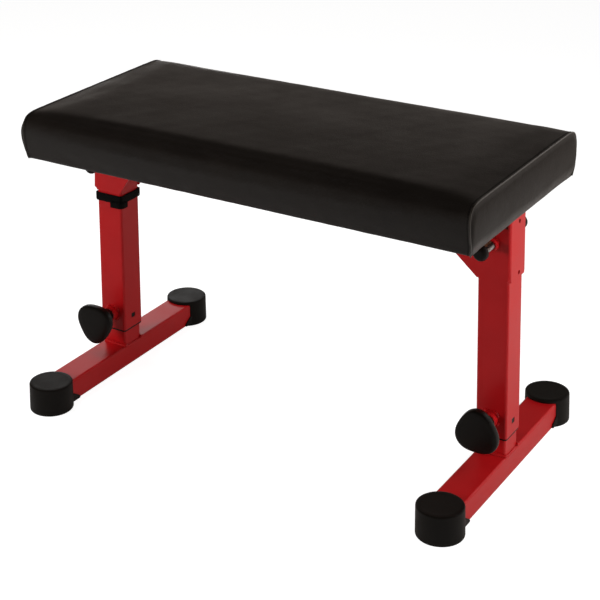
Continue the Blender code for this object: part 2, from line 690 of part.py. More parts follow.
def build_leg(side, side_name, seat):
    leg = make_empty(side_name + "_leg_fold", (side * (LEG_X - PIVOT_INBOARD), 0.0, PIVOT_Z), seat)
    build_leg_tube(side, side_name, leg)
    build_bracket(side, side_name, leg)
    build_pivot(side, side_name, leg)
    build_guide_bushing(side, side_name, leg)
    for end in ENDS:
        build_lock(side, side_name, end, leg)
    build_height_screw(side, side_name, leg)
    foot = make_empty(side_name + "_foot_slide", (side * LEG_X, 0.0, LEG_TUBE_BOTTOM), leg)
    build_foot(side, side_name, foot)
    if side < 0:
        build_strap(side, side_name, leg)


clear_scene()
PARTS = new_collection("folding_bench")
TOOLS = new_collection("folding_bench_cutters")
SEAT = make_empty("seat_frame", (0.0, 0.0, 0.0))
build_seat(SEAT)
for one_side, one_name in SIDES.items():
    build_leg(one_side, one_name, SEAT)
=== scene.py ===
"""Looks for the folding bench: leatherette pad with sewn ends, painted steel, moulded plastic, rubber.

Lengths are in metres, in the CAD frame: +X along the seat, +Y to the rear, +Z up.
"""

import json
from math import copysign, cos, exp, hypot, pi, radians, sin, sqrt

import bmesh
import bpy
import numpy as np
from mathutils import Euler, Matrix, Vector
from mathutils.bvhtree import BVHTree
from mathutils.kdtree import KDTree

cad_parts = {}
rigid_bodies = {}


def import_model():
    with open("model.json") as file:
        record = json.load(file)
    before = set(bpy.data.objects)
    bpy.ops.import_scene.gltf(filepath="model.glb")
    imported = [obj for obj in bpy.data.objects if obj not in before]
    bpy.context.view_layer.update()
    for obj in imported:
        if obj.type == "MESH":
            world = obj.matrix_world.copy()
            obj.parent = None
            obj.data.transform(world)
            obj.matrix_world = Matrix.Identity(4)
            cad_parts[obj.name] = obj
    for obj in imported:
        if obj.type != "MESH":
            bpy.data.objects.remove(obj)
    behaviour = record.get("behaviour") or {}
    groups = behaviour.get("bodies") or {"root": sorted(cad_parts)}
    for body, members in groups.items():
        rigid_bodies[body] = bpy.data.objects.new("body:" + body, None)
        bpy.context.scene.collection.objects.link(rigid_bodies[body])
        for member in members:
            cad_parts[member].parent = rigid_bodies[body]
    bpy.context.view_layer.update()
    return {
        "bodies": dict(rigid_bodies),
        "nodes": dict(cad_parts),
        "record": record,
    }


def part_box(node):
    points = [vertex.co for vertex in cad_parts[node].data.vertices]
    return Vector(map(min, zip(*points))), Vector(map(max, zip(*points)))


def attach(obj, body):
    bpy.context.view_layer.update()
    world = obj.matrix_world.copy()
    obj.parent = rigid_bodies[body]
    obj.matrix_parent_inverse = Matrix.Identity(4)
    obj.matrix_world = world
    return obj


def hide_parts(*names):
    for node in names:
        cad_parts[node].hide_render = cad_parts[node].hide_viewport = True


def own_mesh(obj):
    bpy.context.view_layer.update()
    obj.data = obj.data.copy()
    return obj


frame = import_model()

SIDES = {-1: "left", 1: "right"}
ENDS = {-1: "front", 1: "rear"}
UP = Vector((0.0, 0.0, 1.0))


# ---- node helpers ----
def new_material(name):
    look = bpy.data.materials.new(name)
    look.use_nodes = True
    return look


def feed(look, socket, value):
    """Link a socket to another node's output, or set it to a value."""
    if isinstance(value, bpy.types.NodeSocket):
        look.node_tree.links.new(value, socket)
    else:
        socket.default_value = value


def feed_all(look, node, inputs):
    for key, value in inputs.items():
        feed(look, node.inputs[key], value)


def add_node(look, kind, inputs=None, **settings):
    """Add a node; inputs maps socket names to values or to other nodes' output sockets."""
    node = look.node_tree.nodes.new("ShaderNode" + kind)
    for key, value in settings.items():
        setattr(node, key, value)
    feed_all(look, node, inputs or {})
    return node


def position(look, stretch=(1.0, 1.0, 1.0)):
    """Position on the piece at rest, optionally stretched."""
    coordinates = add_node(look, "TexCoord").outputs["Object"]
    return add_node(look, "Mapping", {"Vector": coordinates, "Scale": stretch}).outputs["Vector"]


def noise(look, where, scale, detail=3.0, roughness=0.55, distortion=0.0):
    """Cloudy value around 0.5, with about `scale` clouds a metre."""
    inputs = {"Vector": where, "Scale": scale, "Detail": detail, "Roughness": roughness,
              "Distortion": distortion}
    return add_node(look, "TexNoise", inputs).outputs["Fac"]


def cells(look, where, scale, feature="F1"):
    """Distances in a pattern of about `scale` cells a metre."""
    inputs = {"Vector": where, "Scale": scale}
    return add_node(look, "TexVoronoi", inputs, feature=feature).outputs["Distance"]


def remap(look, value, low, high, to_low=0.0, to_high=1.0):
    inputs = {"Value": value, "From Min": low, "From Max": high, "To Min": to_low, "To Max": to_high}
    return add_node(look, "MapRange", inputs).outputs["Result"]


def maths(look, operation, a, b=0.0):
    node = add_node(look, "Math", {0: a, 1: b}, operation=operation)
    return node.outputs["Value"]


def mix_colours(look, share, a, b):
    node = add_node(look, "Mix", data_type="RGBA")
    feed(look, node.inputs[0], share)
    feed(look, node.inputs[6], (*a, 1.0) if isinstance(a, tuple) else a)
    feed(look, node.inputs[7], (*b, 1.0) if isinstance(b, tuple) else b)
    return node.outputs[2]


def vary_colour(look, value, low, high, colours):
    """The first colour where value is low, the second where it is high, a mixture between."""
    return mix_colours(look, remap(look, value, low, high), *colours)


def bump(look, height, distance, strength, below=None):
    inputs = {"Height": height, "Distance": distance, "Strength": strength}
    if below is not None:
        inputs["Normal"] = below
    return add_node(look, "Bump", inputs).outputs["Normal"]


def edge_mask(look, radius):
    """0 on flat faces and 1 on sharp edges, from how far a rounded normal turns."""
    rounded = add_node(look, "Bevel", {"Radius": radius}, samples=4).outputs["Normal"]
    flat = add_node(look, "NewGeometry").outputs["Normal"]
    dot = add_node(look, "VectorMath", {0: rounded, 1: flat}, operation="DOT_PRODUCT")
    return remap(look, dot.outputs["Value"], 0.995, 0.9)


def shade(look, colour, rough, normal, specular=0.5, metallic=0.0, sheen=0.0):
    """Set the main shader of a material, and give the material back."""
    feed_all(look, look.node_tree.nodes["Principled BSDF"], {
        "Base Color": colour, "Roughness": rough, "Normal": normal, "Metallic": metallic,
        "Specular IOR Level": specular, "Sheen Weight": sheen})
    return look


# ---- materials ----
# base colours, linear; a pair is the two ends of a variation
PAINT = ((0.405, 0.006, 0.008), (0.445, 0.0075, 0.0095))
WORN_PAINT = (0.5, 0.06, 0.055)
HIDE = ((0.0066, 0.005, 0.0041), (0.0092, 0.0071, 0.0058))
# the welt's colours are lighter than the hide's: a painted highlight along the welt
PAINTED_WELT_HIGHLIGHT = ((0.02, 0.016, 0.013), (0.034, 0.028, 0.023))
PLASTIC = (0.0038, 0.0031, 0.0026)
RUBBER = (0.0044, 0.0036, 0.003)
ZINC = (0.56, 0.56, 0.53)
CHROME = (0.52, 0.5, 0.49)
FOAM = ((0.38, 0.32, 0.17), (0.62, 0.56, 0.36))
PLY = ((0.47, 0.31, 0.17), (0.31, 0.18, 0.08))
TAPE = ((0.0012, 0.0012, 0.0012), (0.006, 0.0056, 0.0054))

WORN_EDGE = 0.0012  # width of the wear along painted edges


def red_paint(name):
    """Semi-gloss powder coat: faint orange peel, cloudy roughness, slightly worn edges."""
    look = new_material(name)
    where = position(look)
    clouds = noise(look, where, 18.0, 4.0)
    peel = bump(look, noise(look, where, 700.0, 2.0), 0.0003, 0.1)
    fleck = bump(look, noise(look, where, 2600.0, 1.0), 0.0001, 0.06, peel)
    worn = maths(look, "MULTIPLY", edge_mask(look, WORN_EDGE),
                 remap(look, noise(look, where, 160.0), 0.5, 0.75, 0.0, 0.35))
    colour = mix_colours(look, worn, vary_colour(look, clouds, 0.3, 0.7, PAINT), WORN_PAINT)
    return shade(look, colour, remap(look, clouds, 0.3, 0.7, 0.3, 0.4), fleck, specular=0.25)


def black_leatherette(name):
    """Embossed PVC hide: pebble grain of about a millimetre, soft creases, patchy sheen.

    The end panels, beyond SEAM_X, are cut from duller hide.
    """
    look = new_material(name)
    where = position(look)
    patches = noise(look, where, 9.0, 5.0, 0.6)
    pebbles = cells(look, where, 620.0, "SMOOTH_F1")
    creases = remap(look, cells(look, where, 210.0, "DISTANCE_TO_EDGE"), 0.0, 0.1)
    rough = maths(look, "ADD", remap(look, patches, 0.3, 0.7, 0.34, 0.44),
                  remap(look, pebbles, 0.0, 0.8, 0.03, -0.03))
    along = add_node(look, "SeparateXYZ", {"Vector": where}).outputs["X"]
    dull = remap(look, maths(look, "ABSOLUTE", along), SEAM_X, SEAM_X + 0.002)
    normal = bump(look, pebbles, 0.0006, 0.45)
    normal = bump(look, creases, 0.0005, 0.16, normal)
    normal = bump(look, noise(look, where, 60.0, 3.0), 0.0012, 0.16, normal)
    return shade(look, vary_colour(look, patches, 0.35, 0.65, HIDE), rough, normal,
                 specular=remap(look, dull, 0.0, 1.0, 0.31, 0.08))


def welt_hide(name):
    """Hide drawn tight over a cord: the grain is pulled flat, so it is shinier. Its base colour is
    lighter than the hide's: a painted highlight along the welt.
    """
    look = new_material(name)
    wear = noise(look, position(look), 120.0, 3.0)
    return shade(look, vary_colour(look, wear, 0.35, 0.7, PAINTED_WELT_HIGHLIGHT),
                 remap(look, wear, 0.3, 0.7, 0.26, 0.36), bump(look, wear, 0.0004, 0.2), specular=0.6)


def moulded(name, colour, rough_low, rough_high, grain_scale, grain):
    """Moulded plastic or rubber: fine spark-eroded grain and uneven sheen."""
    look = new_material(name)
    where = position(look)
    clouds = noise(look, where, 35.0, 4.0)
    dusty = tuple(1.6 * channel for channel in colour)
    return shade(look, vary_colour(look, clouds, 0.35, 0.75, (colour, dusty)),
                 remap(look, clouds, 0.3, 0.7, rough_low, rough_high),
                 bump(look, noise(look, where, grain_scale, 2.0), 0.0003, grain), specular=0.17)


def bare_metal(name, colour, rough_low, rough_high, along, scratch):
    """Plated steel with fine scratches drawn out along Y."""
    look = new_material(name)
    lines = noise(look, position(look, (1.0, along, 1.0)), 900.0, 2.0)
    clouds = noise(look, position(look), 70.0, 4.0)
    dull = tuple(0.82 * channel for channel in colour)
    return shade(look, vary_colour(look, clouds, 0.3, 0.7, (colour, dull)),
                 remap(look, lines, 0.3, 0.7, rough_low, rough_high),
                 bump(look, lines, 0.0001, scratch), metallic=1.0)


def foam(name):
    """Open-cell foam, its pits coloured darker: painted shade in the pores."""
    look = new_material(name)
    pores = cells(look, position(look), 700.0)
    return shade(look, vary_colour(look, pores, 0.1, 0.7, FOAM), 0.95, bump(look, pores, 0.0008, 0.8))


def plywood(name):
    """Raw board: grain drawn out along the seat, with pores."""
    look = new_material(name)
    grain = noise(look, position(look, (0.08, 1.0, 1.0)), 90.0, 6.0, 0.6, 0.6)
    pores = noise(look, position(look, (0.05, 1.0, 1.0)), 900.0, 2.0)
    return shade(look, vary_colour(look, grain, 0.3, 0.7, PLY), 0.75, bump(look, pores, 0.0003, 0.4))


def webbing(name):
    """Loop-pile tape: fuzzy pile over a fine weave."""
    look = new_material(name)
    where = position(look)
    pile = noise(look, where, 1100.0, 4.0, 0.75)
    weave = add_node(look, "TexWave", {"Vector": where, "Scale": 260.0, "Distortion": 2.0},
                     bands_direction="Z").outputs["Fac"]
    normal = bump(look, pile, 0.0012, 0.8, bump(look, weave, 0.0004, 0.3))
    return shade(look, vary_colour(look, pile, 0.35, 0.7, TAPE), 0.9, normal, specular=0.12, sheen=0.02)


# each finish of the record: how to make its material, and what that function takes after the name
FINISHES = {
    "red_paint": (red_paint,),
    "black_leatherette": (black_leatherette,),
    "foam": (foam,),
    "plywood": (plywood,),
    "black_plastic": (moulded, PLASTIC, 0.34, 0.46, 1500.0, 0.2),
    "black_rubber": (moulded, RUBBER, 0.44, 0.56, 1100.0, 0.3),
    "zinc_steel": (bare_metal, ZINC, 0.26, 0.42, 0.06, 0.25),
    "chrome": (bare_metal, CHROME, 0.22, 0.34, 0.2, 0.08),
    "black_webbing": (webbing,),
}


def finish_material(piece_name, finish):
    """New material of one of the record's finishes for one piece."""
    make, *settings = FINISHES[finish]
    return make(piece_name + "_" + finish, *settings)


# ---- mesh helpers ----
SHARP_ANGLE = 40.0  # degrees between faces beyond which an edge is shaded sharp


def link(name, mesh):
    """New object in the scene with a mesh."""
    made = bpy.data.objects.new(name, mesh)
    bpy.context.scene.collection.objects.link(made)
    return made


def mesh_from(name, shape):
    """Turn a bmesh into a mesh and free it."""
    mesh = bpy.data.meshes.new(name)
    shape.to_mesh(mesh)
    shape.free()
    return mesh


def piece_from_mesh(name, shape, finish, body, replaced=(), smooth_angle=SHARP_ANGLE):
    """Turn a bmesh into a piece that rides on a CAD body and stands for the named nodes."""
    mesh = mesh_from(name, shape)
    piece = link(name, mesh)
    mesh.shade_smooth()
    mesh.set_sharp_from_angle(angle=radians(smooth_angle))
    mesh.materials.append(finish_material(name, finish))
    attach(piece, body)
    if replaced:
        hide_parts(*replaced)
    return piece


def new_face(shape, corners):
    """Add a face, leaving out repeated corners; none if fewer than three are left."""
    kept = []
    for vert in corners:
        if vert not in kept:
            kept.append(vert)
    if len(kept) > 2:
        shape.faces.new(kept)


def loft(shape, rings, capped=False, closed=False):
    """Join rings of points with quads; a ring may be one point, which makes a fan.

    capped fills the first and the last ring, and closed joins the last ring to the first.
    """
    rows = [[shape.verts.new(point) for point in ring] for ring in rings]
    for lower, upper in zip(rows, rows[1:] + rows[:1] if closed else rows[1:]):
        count = max(len(lower), len(upper))
        for index in range(count):
            after = (index + 1) % count
            new_face(shape, [row[pick % len(row)] for row, pick in
                             ((lower, index), (lower, after), (upper, after), (upper, index))])
    if capped:
        shape.faces.new(reversed(rows[0]))
        shape.faces.new(rows[-1])
    bmesh.ops.recalc_face_normals(shape, faces=shape.faces)


def circle(steps):
    """Cosine and sine of evenly spaced angles, once round."""
    return [(cos(2 * pi * index / steps), sin(2 * pi * index / steps)) for index in range(steps)]


def turned_rings(profile, place, axis, steps=64):
    """Rings for a profile of (radius, height) points swept round an axis through place."""
    turn = UP.rotation_difference(Vector(axis)).to_matrix()
    rings = []
    for radius, height in profile:
        rings.append([Vector(place) + turn @ Vector((radius * c, radius * s, height))
                      for c, s in circle(1 if radius == 0 else steps)])
    return rings


def rounded_profile(corners, steps=4):
    """Profile through (radius, height, rounding) corners with each corner rounded off."""
    profile = []
    for index, (radius, height, rounding) in enumerate(corners):
        here = Vector((radius, height))
        if rounding == 0 or index in (0, len(corners) - 1):
            profile.append((radius, height))
            continue
        before = (Vector(corners[index - 1][:2]) - here).normalized() * rounding
        after = (Vector(corners[index + 1][:2]) - here).normalized() * rounding
        for step in range(steps + 1):
            share = step / steps
            point = here + before * (1 - share) ** 2 + after * share ** 2
            profile.append((point.x, point.y))
    return profile


def tube_along(shape, line, radii, sides=6):
    """Tube along a polyline with capped ends; radii is one radius, or one for each point."""
    rings = []
    across = None
    for index, (point, radius) in enumerate(zip(line, np.broadcast_to(radii, len(line)))):
        before = line[max(index - 1, 0)]
        after = line[min(index + 1, len(line) - 1)]
        ahead = (after - before).normalized()
        if across is None:
            across = ahead.orthogonal().normalized()
        across = (across - ahead * across.dot(ahead)).normalized()
        other = ahead.cross(across)
        rings.append([point + (across * c + other * s) * radius for c, s in circle(sides)])
    loft(shape, rings, capped=True)


def middle_of(node):
    low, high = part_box(node)
    return (low + high) / 2


def smooth_path(points, spacing, count=None):
    """Points on a smooth curve through the given ones, about `spacing` apart or `count` in all."""
    points = np.array(points, float)
    padded = np.vstack([2 * points[0] - points[1], points, 2 * points[-1] - points[-2]])
    dense = []
    for index in range(1, len(padded) - 2):
        a, b, c, d = padded[index - 1:index + 3]
        for t in np.linspace(0.0, 1.0, 24, endpoint=False):
            dense.append(0.5 * (2 * b + (c - a) * t + (2 * a - 5 * b + 4 * c - d) * t ** 2
                                + (3 * b - 3 * c + d - a) * t ** 3))
    dense.append(points[-1])
    dense = np.array(dense)
    lengths = np.concatenate([[0.0], np.cumsum(np.linalg.norm(np.diff(dense, axis=0), axis=1))])
    if count is None:
        count = max(2, round(lengths[-1] / spacing) + 1)
    targets = np.linspace(0.0, lengths[-1], count)
    return np.stack([np.interp(targets, lengths, dense[:, k]) for k in range(dense.shape[1])], 1)


def ripple(points, seed, wavelength, waves=9):
    """Smooth random height over points: a few seeded sine waves of about one wavelength."""
    chooser = np.random.default_rng(seed)
    total = np.zeros(len(points))
    for _ in range(waves):
        direction = chooser.normal(size=3)
        direction /= np.linalg.norm(direction)
        pitch = wavelength * chooser.uniform(0.7, 1.5)
        total += np.sin(points @ direction * 2 * pi / pitch + chooser.uniform(0.0, 6.28))
    return total / waves


def vertex_array(mesh, what):
    values = np.zeros(len(mesh.vertices) * 3)
    mesh.vertices.foreach_get(what, values)
    return values.reshape(-1, 3)


def set_vertices(mesh, points):
    mesh.vertices.foreach_set("co", points.ravel())
    mesh.update()


# ---- pad ----
PAD_LOW, PAD_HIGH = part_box("seat_cover")
PAD_BOTTOM = PAD_LOW.z
PAD_MIDDLE = PAD_BOTTOM + 0.048  # height of the widest line
SIDE_HEIGHT = 0.079  # of the pad's sides, over which an inset lowers the top
SEAM_X = PAD_HIGH.x - 0.01  # sewn edge of the end panels
SEAM_BOTTOM_X = 0.4195  # the same at the underside
SEAM_FROM_Y = 0.1935  # the seam starts where the outline passes this half width
END_RUN = 0.055  # length over which the section changes to the end's
LIP_INNER = 0.168  # cover turned in under the board, half width
LIP_ROWS = 5
LIP_STEP = 0.006
GRID = 0.0058  # spacing of the cover's mesh
# outlines of half the cross-section: (half width, height above the pad's underside)
LOWER_OUTLINE = (
    (LIP_INNER, 0.0002), (0.185, 0.0), (0.194, -0.0014), (0.1976, -0.0006), (0.199, 0.004),
    (0.201, 0.014), (0.205, 0.033), (0.2062, 0.048),
)
MIDDLE_OUTLINE = LOWER_OUTLINE + (
    (0.2045, 0.062), (0.1975, 0.0735), (0.185, 0.0795), (0.165, 0.0818), (0.14, 0.0828),
    (0.1, 0.0838), (0.05, 0.0846), (0.0, 0.085),
)
END_OUTLINE = LOWER_OUTLINE + (
    (0.2053, 0.058), (0.2022, 0.0675), (0.195, 0.0745), (0.184, 0.078), (0.17, 0.0791),
    (0.14, 0.0794), (0.1, 0.0795), (0.05, 0.0795), (0.0, 0.0795),
)
# outline of the end panel at mid-width: (height above the underside, half length)
PANEL_OUTLINE = ((0.0, 0.4195), (0.0025, 0.4215), (0.014, 0.4265), (0.033, 0.431), (0.048, 0.4322),
                 (0.062, 0.4306), (0.071, 0.4275), (0.076, 0.4225), (0.09, 0.422))
PANEL_BULGE = {-1: 1.3, 1: 0.35}  # how full each end panel is, against PANEL_OUTLINE
PANEL_EDGE = 0.01  # width over which the panel rounds up from its seam
PANEL_FOOT = 0.004  # below this height it is full right up to the seam
PANEL_ROWS = (0.0, 0.06, 0.16, 0.28, 0.41, 0.54, 0.66, 0.77, 0.87, 1.0)  # shares of its height

COVER_THICKNESS = 0.0014
CLOTH_FRAMES = 20
CLOTH = {"quality": 6, "mass": 0.4, "tension_stiffness": 60.0, "compression_stiffness": 60.0,
         "shear_stiffness": 30.0, "bending_stiffness": 30.0, "tension_damping": 20.0,
         "use_pressure": True, "uniform_pressure_force": 4.0}
MOST_SWELL = 0.0022  # how far out and in the cloth may move
MOST_SINK = 0.0003
HELD_EDGE = 0.004  # cloth this near to the seam or the underside stays put
FOAM_INSET = 0.006
FOAM_GRID = 0.012

SEAM_ROUNDING = 0.0046
SEAM_REACH = 0.03  # how far from the seam the puckers are worked out
SEAM_GROOVE = 0.0022  # depth of the groove on each side of the welt
GROOVE_OFFSET = 0.0024  # of its middle from the seam
GROOVE_WIDTH = 0.001
PUCKER = 0.0005
CORNER_Y = 0.195  # the top corner of an end panel, where the hide bunches up
CORNER_HEIGHT = 0.074
CORNER_RISE = 0.0004
WELT_RADIUS = 0.0014
WELT_DEPTH = 0.0007  # of the cord's middle inside the seam line


def seam_x(height):
    """Half length of the main panel at a height above the underside."""
    share = np.clip(height / 0.014, 0.0, 1.0)
    return SEAM_BOTTOM_X + (SEAM_X - SEAM_BOTTOM_X) * share


def pad_surface(inset=0.0, spacing=GRID):
    """Open cover surface as a bmesh, with the seam's vertices marked; inset shrinks it."""
    middle = smooth_path(MIDDLE_OUTLINE, spacing)
    end = smooth_path(END_OUTLINE, spacing, len(middle))
    rows = 2 * round(SEAM_X / spacing) + 1
    shape = bmesh.new()
    seam_layer = shape.verts.layers.int.new("seam")
    main = []
    for x_share in np.linspace(-1.0, 1.0, rows):
        run = max(0.0, 1.0 - (1.0 - abs(x_share)) * SEAM_X / END_RUN)
        half = middle + (end - middle) * run ** 2
        section = np.vstack([half * (-1, 1), (half * (1, 1))[::-1][1:]])
        row = []
        for y, height in section:
            x = x_share * (seam_x(height) - inset)
            y_in = copysign(max(0.0, abs(y) - inset), y)
            z = PAD_BOTTOM + height - inset * min(1.0, height / SIDE_HEIGHT)
            row.append(shape.verts.new((x, y_in, z)))
        main.append(row)
    for lower, upper in zip(main, main[1:]):
        for k in range(len(section) - 1):
            shape.faces.new((lower[k], upper[k], upper[k + 1], lower[k + 1]))
    first = int(np.argmax(end[:, 0] > SEAM_FROM_Y))
    last = len(section) - 1 - first
    for side, row in ((-1, main[0]), (1, main[-1])):
        seam = row[first:last + 1]
        for vert in seam:
            vert[seam_layer] = side
        end_panel(shape, side, seam, inset)
    bmesh.ops.recalc_face_normals(shape, faces=shape.faces)
    return shape


def panel_x(side, y, z, edge, inset):
    """Half length of the pad at a point of an end panel; edge is the panel's sewn edge."""
    height = z - PAD_BOTTOM
    near = np.min(np.hypot(edge[:, 0] - y, edge[:, 1] - z))
    rise = sqrt(1.0 - (1.0 - min(near / PANEL_EDGE, 1.0)) ** 2)
    outline_z, outline_x = np.array(PANEL_OUTLINE).T
    flat = seam_x(height)
    full = np.interp(height, outline_z, outline_x)
    fullness = PANEL_BULGE[side] * (rise if height > PANEL_FOOT else 1.0)
    return flat + (full - flat) * fullness - inset


def end_panel(shape, side, seam, inset):
    """Close one end: columns run from the bottom edge up to the seam, over a bulging form."""
    edge = np.array([(vert.co.y, vert.co.z) for vert in seam])
    columns = len(seam)
    bottom_y = np.linspace(edge[0, 0], edge[-1, 0], columns)
    grid = []
    for column, sewn in enumerate(seam):
        line = []
        for share in PANEL_ROWS:
            y = bottom_y[column] + (edge[column, 0] - bottom_y[column]) * share
            z = edge[0, 1] + (edge[column, 1] - edge[0, 1]) * share
            if share == 1.0 or column in (0, columns - 1):
                line.append(sewn)
            else:
                line.append(shape.verts.new((side * panel_x(side, y, z, edge, inset), y, z)))
        grid.append(line)
    for a, b in zip(grid, grid[1:]):
        for k in range(len(PANEL_ROWS) - 1):
            new_face(shape, (a[k], b[k], b[k + 1], a[k + 1]))
    inner = [line[0] for line in grid if abs(line[0].co.y) < LIP_INNER]
    for step in range(1, LIP_ROWS + 1):
        x = side * (SEAM_BOTTOM_X - inset - LIP_STEP * step)
        outer = inner
        inner = [shape.verts.new((x, vert.co.y, PAD_BOTTOM + 0.0002)) for vert in outer]
        for k in range(len(inner) - 1):
            shape.faces.new((outer[k], outer[k + 1], inner[k + 1], inner[k]))


def run_cloth(piece, hold):
    """Blow a piece up with Cloth, holding vertices by weight, and give back how they moved."""
    group = piece.vertex_groups.new(name="held")
    for index, weight in enumerate(hold):
        if weight > 0.0:
            group.add([index], weight, "REPLACE")
    cloth = piece.modifiers.new("cloth", "CLOTH")
    for name, value in CLOTH.items():
        setattr(cloth.settings, name, value)
    cloth.settings.vertex_group_mass = "held"
    cloth.settings.effector_weights.gravity = 0.0
    cloth.collision_settings.use_collision = False
    cloth.point_cache.frame_start = 1
    cloth.point_cache.frame_end = CLOTH_FRAMES
    for step in range(1, CLOTH_FRAMES + 1):
        bpy.context.scene.frame_set(step)
    evaluated = piece.evaluated_get(bpy.context.evaluated_depsgraph_get())
    move = vertex_array(evaluated.data, "co") - vertex_array(piece.data, "co")
    piece.modifiers.remove(cloth)
    piece.vertex_groups.remove(group)
    bpy.context.scene.frame_set(1)
    return move


def inflate(piece, hold):
    """Swell the cover with Cloth, by at most MOST_SWELL outward and MOST_SINK inward."""
    mesh = piece.data
    normals = vertex_array(mesh, "normal")
    move = run_cloth(piece, hold)
    outward = (move * normals).sum(axis=1, keepdims=True)
    sideways = move - outward * normals
    reach = np.linalg.norm(sideways, axis=1, keepdims=True)
    sideways *= np.minimum(1.0, MOST_SINK / np.maximum(reach, 1e-9))
    swell = MOST_SWELL * np.tanh(np.maximum(outward, 0.0) / MOST_SWELL)
    sink = MOST_SINK * np.tanh(np.maximum(-outward, 0.0) / (8 * MOST_SINK))
    set_vertices(mesh, vertex_array(mesh, "co") + (swell - sink) * normals + sideways)


def soften_pad(mesh):
    """Slow dips and swells of stuffed foam, and pulls above the stapled underside."""
    points = vertex_array(mesh, "co")
    normals = vertex_array(mesh, "normal")
    height = points[:, 2] - PAD_BOTTOM
    swell = 0.0007 * ripple(points, 11, 0.15) + 0.0003 * ripple(points, 12, 0.035)
    swell *= np.clip((height - 0.001) / 0.012, 0.0, 1.0)
    pulled = 0.0014 * ripple(points, 13, 0.04) * np.exp(-((height - 0.006) / 0.006) ** 2)
    set_vertices(mesh, points + normals * (swell + pulled)[:, None])


def sew_seams(shape):
    """Finely round the sewn edges, with small puckers and a groove on each side of the welt."""
    seam_layer = shape.verts.layers.int["seam"]
    seams = [edge for edge in shape.edges if edge.verts[0][seam_layer] and
             edge.verts[0][seam_layer] == edge.verts[1][seam_layer]]
    steps = 8
    path = KDTree(len(seams) * steps)
    for number, edge in enumerate(seams):
        a, b = [vert.co.copy() for vert in edge.verts]
        for step in range(steps):
            path.insert(a.lerp(b, step / steps), number * steps + step)
    path.balance()
    bmesh.ops.bevel(shape, geom=seams, offset=SEAM_ROUNDING, segments=13, profile=0.68,
                    affect="EDGES", clamp_overlap=True)
    shape.normal_update()
    pucker = ripple(np.array([vert.co for vert in shape.verts]), 5, 0.011)
    moves = {}
    for vert, wave in zip(shape.verts, pucker):
        nearest, _, distance = path.find(vert.co)
        if distance > SEAM_REACH:
            continue
        across = (abs(vert.co.x) - abs(nearest.x)
                  + hypot(vert.co.y - nearest.y, vert.co.z - nearest.z))
        rise = -SEAM_GROOVE * exp(-((abs(across) - GROOVE_OFFSET) / GROOVE_WIDTH) ** 2)
        rise += PUCKER * wave * exp(-distance / 0.008)
        to_corner = hypot(abs(nearest.y) - CORNER_Y, nearest.z - PAD_BOTTOM - CORNER_HEIGHT)
        rise += CORNER_RISE * exp(-(to_corner / 0.014) ** 2 - (distance / 0.008) ** 2)
        moves[vert] = vert.normal * rise
    for vert, move in moves.items():
        vert.co += move


def build_welt(seam, side):
    """Covered cord sewn into the edge of one end panel; seam is the edge's points in order."""
    line = smooth_path([tuple(point) for point in seam], 0.002)
    knot = ripple(line, 17, 0.009)
    centres = []
    for index, point in enumerate(line):
        ahead = line[min(index + 1, len(line) - 1)] - line[max(index - 1, 0)]
        out = Vector((0.0, -ahead[2], ahead[1])).normalized()
        if out.dot(Vector((0.0, point[1], point[2] - PAD_MIDDLE))) < 0.0:
            out.negate()
        outward = (out + Vector((side, 0.0, 0.0))).normalized()
        centres.append(Vector(point) - outward * (WELT_DEPTH - 0.0003 * knot[index]))
    shape = bmesh.new()
    tube_along(shape, centres, WELT_RADIUS, 10)
    welt = piece_from_mesh("pad_welt_" + SIDES[side], shape, "black_leatherette", "seat", (), 60.0)
    welt.data.materials[0] = welt_hide(welt.name + "_hide")


def build_stitches(surface, seam, side):
    """Thread stitches on the main panel, beside the welt of one end."""
    beside = 0.0046
    pitch = 0.0042
    reach = 0.0014
    thread = 0.0004
    hide = BVHTree.FromBMesh(surface)
    line = smooth_path([tuple(point) for point in seam], pitch)
    shape = bmesh.new()
    for before, after in zip(line, line[1:]):
        ahead = Vector(after - before).normalized()
        middle = Vector((before + after) / 2) - Vector((side * beside, 0.0, 0.0))
        spot, normal, _, _ = hide.find_nearest(middle)
        points = [spot + ahead * step * reach + normal * lift * thread
                  for step, lift in ((-1.0, -1.0), (-0.6, 0.4), (0.6, 0.4), (1.0, -1.0))]
        tube_along(shape, points, thread)
    piece_from_mesh("pad_stitches_" + SIDES[side], shape, "black_webbing", "seat", (), 60.0)


def held_weights(shape, seam):
    """1 for the cover's vertices that are sewn or stapled down, 0 for those free to swell."""
    tree = KDTree(len(seam))
    for index, place in enumerate(seam):
        tree.insert(place, index)
    tree.balance()
    return [1.0 if vert.co.z < PAD_BOTTOM + HELD_EDGE or tree.find(vert.co)[2] < HELD_EDGE else 0.0
            for vert in shape.verts]


def build_pad():
    """Leatherette cover with sewn ends: blown up, softened and sewn, then welts and stitches."""
    shape = pad_surface()
    seam_layer = shape.verts.layers.int["seam"]
    edges = {side: [vert.co.copy() for vert in shape.verts if vert[seam_layer] == side]
             for side in SIDES}
    hold = held_weights(shape, edges[-1] + edges[1])
    mesh = mesh_from("pad_cover", shape)
    cover = link("pad_cover", mesh)
    inflate(cover, hold)
    soften_pad(mesh)
    sewn = bmesh.new()
    sewn.from_mesh(mesh)
    sew_seams(sewn)
    for side, edge in edges.items():
        build_stitches(sewn, edge, side)
    sewn.to_mesh(mesh)
    sewn.free()
    mesh.shade_smooth()
    mesh.materials.append(finish_material("pad", "black_leatherette"))
    skin = cover.modifiers.new("thickness", "SOLIDIFY")
    skin.thickness = COVER_THICKNESS
    skin.offset = -1.0
    finer = cover.modifiers.new("finer", "SUBSURF")
    finer.levels = 1
    finer.render_levels = 1
    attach(cover, "seat")
    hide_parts("seat_cover")
    for side, edge in edges.items():
        build_welt(edge, side)


